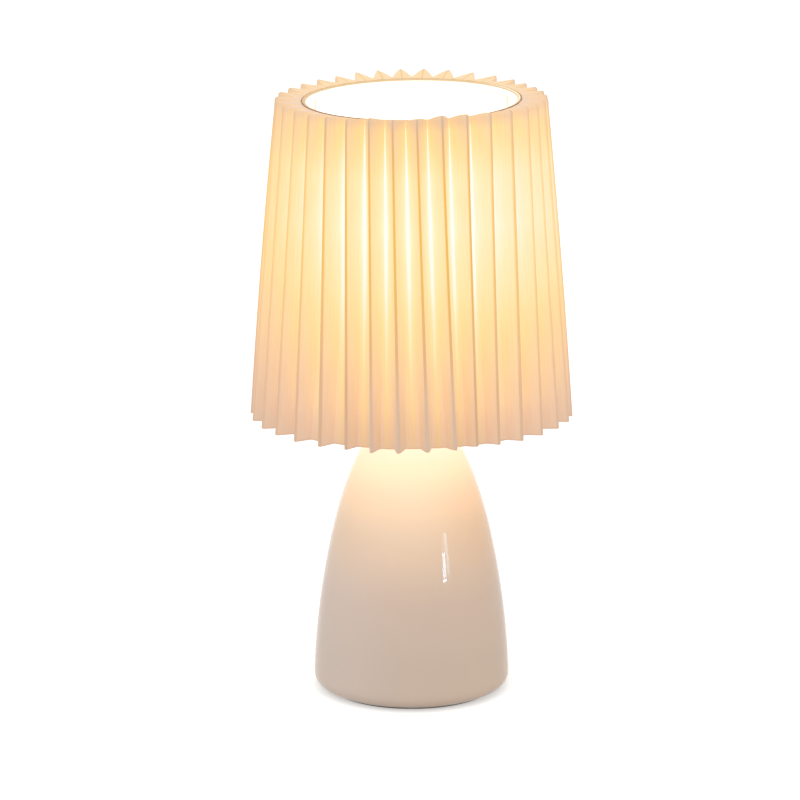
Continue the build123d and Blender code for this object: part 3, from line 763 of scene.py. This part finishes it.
def glaze(g):
    look = Finish("warmWhiteGlaze", {"Coat Weight": 0.2, "Coat Roughness": 0.01, "Specular IOR Level": 0.04})
    x, height = look.axis(0), look.axis(2)
    # lighter towards the top: painted light from the shade above
    stops = [(z / g["top"], fromScreen(*colour)) for z, colour in g["colours"]]
    body = look.ramp(height / (g["top"] * mm), stops)
    # painted shade low on the left, a painted warm reflection high on the right, painted bounce light low at
    # both edges
    coolShade = (1 - x.fades(-0.045, 0.0)) * (1 - height.fades(0.06, 0.12))
    body = look.tinted(coolShade, body, g["coolShade"])
    warmReflection = x.fades(0.0, 0.045) * height.bell(0.112, 0.05)
    body = look.tinted(warmReflection, body, g["warmReflection"])
    paleBounce = abs(x).fades(0.01, 0.05) * (1 - height.fades(0.05, 0.1))
    body = look.tinted(paleBounce, body, g["paleBounce"])
    cloud = look.noise(look.spot((1, 1, 0.5)), 45.0, 3.0)
    body = look.mix(cloud * 0.06, body, g["pooled"])
    pinhole = 1 - look.cells(260.0, "Distance").fades(0.02, 0.09)
    body = look.mix(pinhole * 0.12, body, g["pinhole"])
    foot = 1 - height.fades(g["footHeight"] * mm - 0.0004, g["footHeight"] * mm + 0.0003)
    look.feed("Base Color", look.mix(foot, body, fromScreen(*g["bareFoot"])))
    look.feed("Roughness", foot * 0.6 + cloud * 0.05 + 0.09)
    look.bump(look.noise(look.spot(), 220.0, 1.0), 0.00001, 0.5)
    return look


dress(["base_shell"], glaze(glazeLook))
print("base glazed")


# felt under the foot
felt = {"radius": 46.8, "thickness": 1.45, "edge": 0.4, "uneven": 0.12, "rings": 4, "ring": 9.0}


def makeFelt(f):
    radius, thick = f["radius"] * mm, f["thickness"] * mm
    bpy.ops.mesh.primitive_cylinder_add(vertices=120, radius=radius, depth=thick, location=(0, 0, thick / 2))
    bpy.ops.object.transform_apply(location=True)
    disc = bpy.context.object.data
    for vertex in disc.vertices:
        turn = atan2(vertex.co.y, vertex.co.x)
        cut = 1 - f["uneven"] * (1 + sin(turn * 7) * 0.5 + sin(turn * 23 + 1) * 0.3) / f["radius"]
        vertex.co.x, vertex.co.y = vertex.co.x * cut, vertex.co.y * cut
    bpy.ops.object.mode_set(mode="EDIT")
    bpy.ops.mesh.select_all(action="DESELECT")
    bpy.ops.object.mode_set(mode="OBJECT")
    for face in disc.polygons:
        face.select = abs(face.normal.z) > 0.9
    bpy.ops.object.mode_set(mode="EDIT")
    bpy.ops.mesh.bevel(offset=f["edge"] * mm, segments=2)
    for _ in range(f["rings"]):
        bpy.ops.mesh.inset(thickness=f["ring"] * mm)
    bpy.ops.mesh.poke()
    bpy.ops.object.mode_set(mode="OBJECT")
    bpy.ops.object.shade_smooth_by_angle(angle=radians(50))


def pressedFelt():
    look = Finish("pressedFelt", {"Roughness": 0.95, "Specular IOR Level": 0.1, "Sheen Weight": 0.35})
    matted = look.noise(look.spot(), 420.0, 6.0, 0.7)
    hairs = look.noise(look.spot((1, 4, 1)), 900.0, 2.0)
    look.feed("Base Color", look.mix(matted * 0.7 + hairs * 0.3, (0.27, 0.23, 0.19), (0.46, 0.4, 0.34)))
    look.bump(matted + hairs * 0.5, 0.0003, 0.7)
    return look


makeFelt(felt)
pad = newPiece("felt_pad", [pressedFelt()], "base", "base_pad")
print("felt cut")


# screw cap of the bulb: a rolled sleeve with a real thread round it
cap = {
    "bottom": 191.8,
    "height": 19.0,
    "root": 12.38,
    "mouth": 4.5,  # how far inside the sleeve's wall its lower opening lies
    "thread": 0.78,
    "pitch": 3.62,
    "turns": 4.2,
    "start": 2.0,
    "steps": 40,
    "runOut": 12,  # steps over which the thread runs out at both ends
}


def makeCap(c):
    low, top, root, mouth = (v * mm for v in (c["bottom"], c["bottom"] + c["height"], c["root"], c["mouth"]))
    bpy.ops.mesh.primitive_circle_add(vertices=72, radius=root - mouth, location=(0, 0, low))
    bpy.ops.object.transform_apply(location=True)
    sleeve = bpy.context.object
    bpy.ops.object.mode_set(mode="EDIT")
    # from the lower opening outwards, up the outer side to the glass, and back down inside
    path = [
        (root - 0.0009, low + 0.0002),
        (root - 0.0002, low + 0.0009),
        (root, low + 0.0018),
        (root, top - 0.0009),
        (root + 0.0002, top - 0.0004),
        (root, top),
        (root - 0.0004, top),
        (root - 0.0004, low + 0.002),
        (root - 0.0012, low + 0.0008),
        (root - mouth, low + 0.0005),
    ]
    here = (root - mouth, low)
    for radius, height in path:
        out = radius / here[0]
        bpy.ops.mesh.extrude_edges_move()
        bpy.ops.transform.resize(value=(out, out, 1), center_override=(0, 0, 0))
        bpy.ops.transform.translate(value=(0, 0, height - here[1]))
        here = (radius, height)
    bpy.ops.object.mode_set(mode="OBJECT")
    for vertex in sleeve.data.vertices:
        vertex.select = False
    bpy.ops.object.mode_set(mode="EDIT")
    bpy.ops.mesh.select_mode(type="VERT")
    bpy.ops.mesh.select_non_manifold()
    bpy.ops.mesh.bridge_edge_loops()
    bpy.ops.mesh.select_all(action="SELECT")
    bpy.ops.mesh.normals_make_consistent(inside=False)
    bpy.ops.object.mode_set(mode="OBJECT")

    bpy.ops.curve.primitive_nurbs_path_add()
    wind = bpy.context.object
    spline = wind.data.splines[0]
    count = int(c["turns"] * c["steps"])
    spline.points.add(count - len(spline.points))
    for i, point in enumerate(spline.points):
        turn = 2 * pi * i / c["steps"]
        run = min(1, i / c["runOut"], (count - 1 - i) / c["runOut"])
        radius = root - (1 - run) * c["thread"] * mm
        height = low + (c["start"] + c["pitch"] * i / c["steps"]) * mm
        point.co = (radius * cos(turn), radius * sin(turn), height, 1)
    spline.order_u = 3
    spline.use_endpoint_u = True
    wind.data.dimensions = "3D"
    wind.data.resolution_u = 2
    wind.data.bevel_depth = c["thread"] * mm
    wind.data.bevel_resolution = 3
    wind.data.use_fill_caps = True
    bpy.ops.object.convert(target="MESH")
    sleeve.select_set(True)
    bpy.context.view_layer.objects.active = sleeve
    bpy.ops.object.join()
    bpy.ops.object.shade_smooth_by_angle(angle=radians(40))


def rolledNickel():
    look = Finish("rolledNickel", {"Metallic": 1.0})
    lines = look.noise(look.spot((1, 1, 30)), 90.0, 3.0)
    haze = look.noise(look.spot(), 160.0, 4.0)
    look.feed("Base Color", look.mix(haze, (0.56, 0.545, 0.51), (0.44, 0.425, 0.395)))
    look.feed("Roughness", 0.16 + lines * 0.14 + haze * 0.06)
    look.bump(lines, 0.00002, 0.5)
    return look


makeCap(cap)
newPiece("bulb_cap_threaded", [rolledNickel()], "bulb", "bulb_cap")
print("bulb cap threaded")


# finishes of the pieces that keep their shape
metalLook = {
    "zinc": (0.36, 0.37, 0.38),
    "zincShade": (0.22, 0.23, 0.24),
    "brass": (0.62, 0.4, 0.14),
    "brassShade": (0.38, 0.22, 0.08),
    "tin": (0.46, 0.46, 0.45),
    "tinShade": (0.3, 0.3, 0.29),
}
plainLook = {
    "moulding": (0.79, 0.75, 0.68),
    "handled": (0.86, 0.82, 0.76),  # share of its colour that handled moulding keeps
    "barrelThread": (183, 208, 2.5, 19.4),  # bottom, top, pitch and radius, in mm
    "bulbShell": (0.83, 0.81, 0.76),
    "paint": (0.8, 0.765, 0.7),
    "rubber": (0.66, 0.62, 0.55),
    "china": (0.8, 0.78, 0.72),
    "chinaSpeck": (0.42, 0.36, 0.28),
    "board": (0.72, 0.72, 0.68),
    "copper": (0.55, 0.5, 0.4),
}


def zincPlate(m):
    look = Finish("zincPlate", {"Metallic": 1.0})
    facet = look.node("SeparateColor", None, {0: look.cells(420.0, "Color")}, 0)
    dull = look.noise(look.spot(), 120.0, 5.0)
    look.feed("Base Color", look.mix(facet * 0.35 + dull * 0.5, m["zinc"], m["zincShade"]))
    look.feed("Roughness", 0.3 + facet * 0.1 + dull * 0.15)
    look.bump(facet * 0.2 + dull, 0.00003, 0.5)
    return look


def brass(m):
    look = Finish("pressedBrass", {"Metallic": 1.0})
    tarnish = look.noise(look.spot(), 140.0, 5.0)
    drawn = look.noise(look.spot((1, 1, 0.05)), 900.0, 1.0)
    look.feed("Base Color", look.mix(tarnish.fades(0.4, 0.75), m["brass"], m["brassShade"]))
    look.feed("Roughness", 0.2 + tarnish * 0.2 + drawn * 0.06)
    wound = look.wound(cap["pitch"])  # the rolled thread of the screw shell
    look.bump(drawn * 0.05 + abs(wound - 0.5) * 2, 0.0005, 0.6)
    return look


def solder(m):
    look = Finish("contactSolder", {"Metallic": 1.0, "Roughness": 0.42})
    cooled = look.noise(look.spot(), 700.0, 3.0)
    look.feed("Base Color", look.mix(cooled, m["tin"], m["tinShade"]))
    look.bump(cooled, 0.0001, 0.6)
    return look


def moulding(name, colour, grain=1400.0, rough=0.42, thread=None):
    # moulded plastic: a fine even texture, a little darker where it has been handled
    look = Finish(name, {"IOR": 1.5})
    handled = look.noise(look.spot(), 60.0, 4.0)
    texture = look.noise(look.spot(), grain, 2.0)
    worn = tuple(v * kept for v, kept in zip(colour, plainLook["handled"]))
    look.feed("Base Color", look.mix(handled.fades(0.45, 0.8) * 0.35, colour, worn))
    look.feed("Roughness", rough + texture * 0.08 + handled * 0.06)
    if thread:
        low, top, pitch, radius = thread
        up = look.axis(2)
        cut = (1 - abs(look.wound(pitch) - 0.5) * 2) * up.fades(low * mm, (low + 1) * mm)
        cut = cut * (1 - up.fades((top - 1) * mm, top * mm)) * look.fromAxis().bell(radius * mm, 0.0006)
        look.bump(texture * 0.02 - cut, 0.0007, 0.7)
    else:
        look.bump(texture, 0.00002, 0.6)
    return look


def powderCoat(colour):
    look = Finish("powderCoat", {"Coat Weight": 0.15, "Coat Roughness": 0.2})
    peel = look.noise(look.spot(), 1500.0, 2.0)
    cloud = look.noise(look.spot(), 90.0, 3.0)
    look.feed("Base Color", look.mix(cloud * 0.5 + peel * 0.2, colour, scaled(colour, 0.88)))
    look.feed("Roughness", 0.34 + cloud * 0.1)
    look.bump(peel, 0.00004, 0.6)
    return look


def rubber(colour):
    look = Finish("paleRubber", {"Specular IOR Level": 0.35})
    bloom = look.noise(look.spot(), 150.0, 5.0)
    grain = look.noise(look.spot(), 1800.0, 2.0)
    look.feed("Base Color", look.mix(bloom.fades(0.35, 0.75), colour, scaled(colour, 0.8)))
    look.feed("Roughness", 0.6 + bloom * 0.2)
    look.bump(grain, 0.00004, 0.6)
    return look


def china(colour):
    look = Finish("holderChina", {"Coat Weight": 0.5, "Coat Roughness": 0.05})
    speck = 1 - look.cells(500.0, "Distance").fades(0.03, 0.1)
    wavy = look.noise(look.spot(), 200.0, 2.0)
    look.feed("Base Color", look.mix(speck * 0.4, colour, plainLook["chinaSpeck"]))
    look.feed("Roughness", 0.16 + wavy * 0.08)
    look.bump(wavy, 0.00004, 0.5)
    return look


def blackGlass():
    look = Finish("capGlass", {"Coat Weight": 0.3})
    flow = look.noise(look.spot((1, 1, 3)), 260.0, 3.0)
    look.feed("Base Color", look.mix(flow, (0.006, 0.006, 0.008), (0.03, 0.028, 0.026)))
    look.feed("Roughness", 0.07 + flow * 0.1)
    look.bump(flow, 0.00005, 0.5)
    return look


def circuitBoard(colour):
    look = Finish("circuitBoard", {"Roughness": 0.35})
    out = look.fromAxis()
    mask = look.noise(look.spot(), 900.0, 2.0)
    track = out.bell(0.0062, 0.0007).atLeast(out.bell(0.0145, 0.0005))
    lacquer = look.mix(mask * 0.4, colour, scaled(colour, 0.85))
    look.feed("Base Color", look.mix(track.fades(0.2, 0.6), lacquer, plainLook["copper"]))
    look.bump(track + mask * 0.1, 0.00003, 0.6)
    return look


def litChips():
    look = Finish("chipPhosphor", {"Roughness": 0.45, "Emission Strength": 1.0})
    grain = look.noise(look.spot(), 2600.0, 2.0)
    look.feed("Base Color", look.mix(grain, (0.8, 0.55, 0.08), (0.6, 0.36, 0.04)))
    look.feed("Emission Color", look.mix(grain, (1.0, 0.82, 0.45), (1.0, 0.72, 0.3)))
    look.bump(grain, 0.00003, 0.5)
    return look


globeLook = {"bottom": 231.8, "top": 287.0, "middle": (0.82, 0.7, 0.5), "ends": (0.5, 0.33, 0.16)}


def frostedGlobe(g):
    look = Finish("frostedGlobe", {"Emission Strength": 1.0, "Coat Weight": 0.1})
    frost = look.noise(look.spot(), 1600.0, 3.0)
    cloud = look.noise(look.spot(), 70.0, 2.0)
    up = look.axis(2).rises(g["bottom"] * mm, g["top"] * mm)
    bright = up.bell(0.58, 0.8) * (0.85 + 0.3 * cloud)
    look.feed("Base Color", look.mix(frost, (0.3, 0.28, 0.24), (0.24, 0.22, 0.19)))
    look.feed("Emission Color", look.mix(bright, g["ends"], g["middle"]))
    look.feed("Roughness", 0.4 + frost * 0.2)
    look.bump(frost, 0.00003, 0.5)
    return look


dress(["bottom_plate", "threaded_rod", "rod_washer", "rod_nut"], zincPlate(metalLook))
dress(["terminal_screws", "screw_shell", "centre_contact"], brass(metalLook))
dress(["bulb_contact"], solder(metalLook))
dress(["holder_cap"], moulding("holderMoulding", plainLook["moulding"]))
dress(["holder_body"], moulding("holderThread", plainLook["moulding"], thread=plainLook["barrelThread"]))
dress(["shade_ring"], moulding("ringMoulding", plainLook["moulding"], grain=1000.0))
dress(["bulb_housing"], moulding("bulbMoulding", plainLook["bulbShell"], rough=0.24))
painted = ["neck_cap", "top_ring", "bottom_ring", "frame_struts", "fitter_ring", "fitter_arms"]
dress(painted, powderCoat(plainLook["paint"]))
dress(["cord_grommet", "neck_gasket"], rubber(plainLook["rubber"]))
dress(["holder_insulator"], china(plainLook["china"]))
dress(["bulb_insulator"], blackGlass())
dress(["led_board"], circuitBoard(plainLook["board"]))
dress(["led_chips"], litChips())
dress(["bulb_globe"], frostedGlobe(globeLook))
print("finishes given")
